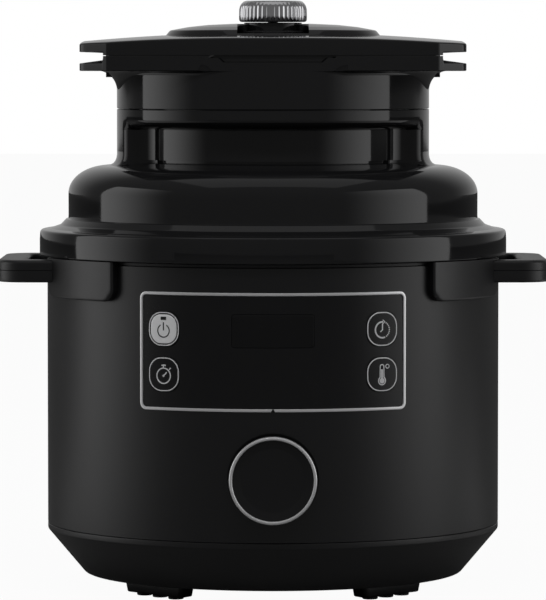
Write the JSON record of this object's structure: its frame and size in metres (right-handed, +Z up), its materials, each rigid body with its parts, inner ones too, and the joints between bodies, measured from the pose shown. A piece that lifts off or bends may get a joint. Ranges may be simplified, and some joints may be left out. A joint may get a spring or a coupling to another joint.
{
  "type": "electric pressure cooker",
  "caption": "Black electric pressure cooker with a tall stepped lift-off lid, winged turning handle, chromed valve knob, framed key panel, ringed dial and looped side handles.",
  "frame": {"origin": "on the cooker's vertical axis, on the surface that its feet stand on", "axes": "+Z up, front with panel and dial towards -Y, +X to the right seen from the front"},
  "size_m": [0.3872, 0.344, 0.415],
  "materials": {
    "satin_black": "satin moulded plastic, finely textured",
    "gloss_black": "glossy moulded plastic",
    "panel_black": "smooth smoked fascia",
    "bright_chrome": "polished plating",
    "knob_black": "fine spun finish",
    "grey_rubber": "matt",
    "inner_plastic": "plain moulded",
    "stainless": "brushed or drawn",
    "cast_aluminium": "cast and turned",
    "pot_coating": "non-stick, speckled",
    "heater_sheath": "heat-darkened sheath",
    "silicone": "translucent matt",
    "red_silicone": "matt",
    "motor_steel": "zinc plated",
    "fan_plastic": "moulded",
    "brass_pins": "bright",
    "green_board": "lacquered board",
    "brown_board": "phenolic board"
  },
  "bodies": {
    "base": {"base_housing": "satin_black", "bottom_plate": "inner_plastic", "feet": "satin_black", "foot_pads": "grey_rubber", "body_shell": "satin_black", "top_collar": "inner_plastic", "inner_liner": "stainless", "inner_pot": "pot_coating", "heating_plate": "cast_aluminium", "sensor_spring": "stainless", "control_panel": "panel_black", "panel_frame": "bright_chrome", "display_window": "panel_black", "display_module": "inner_plastic", "control_board": "green_board", "dial_seat": "knob_black", "dial_encoder": "motor_steel", "power_board": "brown_board", "inlet_housing": "inner_plastic", "inlet_pins": "brass_pins", "lid_socket": "inner_plastic", "handle_left_frame": "satin_black", "handle_left_cap": "satin_black", "handle_right_frame": "satin_black", "handle_right_cap": "satin_black"},
    "sensor": {"sensor_cap": "cast_aluminium"},
    "key_power": {"button_power": "panel_black"},
    "key_timer": {"button_timer": "panel_black"},
    "key_delay": {"button_delay": "panel_black"},
    "key_temperature": {"button_temperature": "panel_black"},
    "dial": {"dial_shaft": "stainless", "dial_knob": "knob_black", "dial_ring": "bright_chrome"},
    "lid": {"lid_shell": "gloss_black", "pressure_plate": "stainless", "gasket": "silicone", "heater_dome": "stainless", "heating_coil": "heater_sheath", "guard_grille": "stainless", "fan_motor": "motor_steel", "steam_duct": "stainless", "lid_plug": "inner_plastic", "valve_collar": "gloss_black"},
    "fan": {"convection_fan": "cast_aluminium", "fan_shaft": "stainless", "cooling_fan": "fan_plastic"},
    "float": {"float_valve": "red_silicone"},
    "lock_bolt_1": {"bolt_1": "stainless"},
    "lock_bolt_2": {"bolt_2": "stainless"},
    "lock_bolt_3": {"bolt_3": "stainless"},
    "valve": {"valve_ring": "bright_chrome", "valve_cap": "knob_black"},
    "handle": {"drive_bell": "inner_plastic", "neck_sleeve": "gloss_black", "cam_ring": "stainless", "handle_body": "gloss_black", "handle_cover": "gloss_black", "cover_disc": "gloss_black"},
    "release_left": {"grip_left": "gloss_black"},
    "release_right": {"grip_right": "gloss_black"}
  },
  "joints": [
    {"name": "lid_lift", "type": "slide", "parent": "base", "child": "lid", "axis": [0, 0, 1], "range_m": [0, 0.26]},
    {"name": "handle_turn", "type": "hinge", "parent": "lid", "child": "handle", "pos_m": [0, 0, 0.34], "axis": [0, 0, 1], "range_deg": [-40, 0]},
    {"name": "bolt_1_slide", "type": "slide", "parent": "lid", "child": "lock_bolt_1", "axis": [0, 1, 0], "range_m": [0, 0.0055]},
    {"name": "bolt_2_slide", "type": "slide", "parent": "lid", "child": "lock_bolt_2", "axis": [-0.866, -0.5, 0], "range_m": [0, 0.0055]},
    {"name": "bolt_3_slide", "type": "slide", "parent": "lid", "child": "lock_bolt_3", "axis": [0.866, -0.5, 0], "range_m": [0, 0.0055]},
    {"name": "valve_turn", "type": "hinge", "parent": "lid", "child": "valve", "pos_m": [0, 0, 0.4], "axis": [0, 0, 1], "range_deg": [0, 75]},
    {"name": "float_lift", "type": "slide", "parent": "lid", "child": "float", "axis": [0, 0, 1], "range_m": [0, 0.0028]},
    {"name": "fan_spin", "type": "hinge", "parent": "lid", "child": "fan", "pos_m": [0, 0, 0.3], "axis": [0, 0, 1], "continuous": true},
    {"name": "dial_turn", "type": "hinge", "parent": "base", "child": "dial", "pos_m": [0, -0.17, 0.09], "axis": [0, -1, 0], "continuous": true},
    {"name": "power_press", "type": "slide", "parent": "base", "child": "key_power", "axis": [0.4633, 0.8862, 0], "range_m": [0, 0.0008], "stiffness_N_per_m": 400, "springref_m": -0.0005},
    {"name": "timer_press", "type": "slide", "parent": "base", "child": "key_timer", "axis": [0.4633, 0.8862, 0], "range_m": [0, 0.0008], "stiffness_N_per_m": 400, "springref_m": -0.0005},
    {"name": "delay_press", "type": "slide", "parent": "base", "child": "key_delay", "axis": [-0.4633, 0.8862, 0], "range_m": [0, 0.0008], "stiffness_N_per_m": 400, "springref_m": -0.0005},
    {"name": "temperature_press", "type": "slide", "parent": "base", "child": "key_temperature", "axis": [-0.4633, 0.8862, 0], "range_m": [0, 0.0008], "stiffness_N_per_m": 400, "springref_m": -0.0005},
    {"name": "sensor_press", "type": "slide", "parent": "base", "child": "sensor", "axis": [0, 0, 1], "range_m": [-0.002, 0], "stiffness_N_per_m": 300, "springref_m": 0.002, "deforming": ["sensor_spring"]},
    {"name": "release_left_squeeze", "type": "slide", "parent": "handle", "child": "release_left", "axis": [0, 0, 1], "range_m": [0, 0.002], "stiffness_N_per_m": 500, "springref_m": -0.001},
    {"name": "release_right_squeeze", "type": "slide", "parent": "handle", "child": "release_right", "axis": [0, 0, 1], "range_m": [0, 0.002], "stiffness_N_per_m": 500, "springref_m": -0.001}
  ],
  "couplings": [
    {"joint": "bolt_1_slide", "follows": "handle_turn", "m_per_rad": -0.0078782},
    {"joint": "bolt_2_slide", "follows": "handle_turn", "m_per_rad": -0.0078782},
    {"joint": "bolt_3_slide", "follows": "handle_turn", "m_per_rad": -0.0078782}
  ]
}
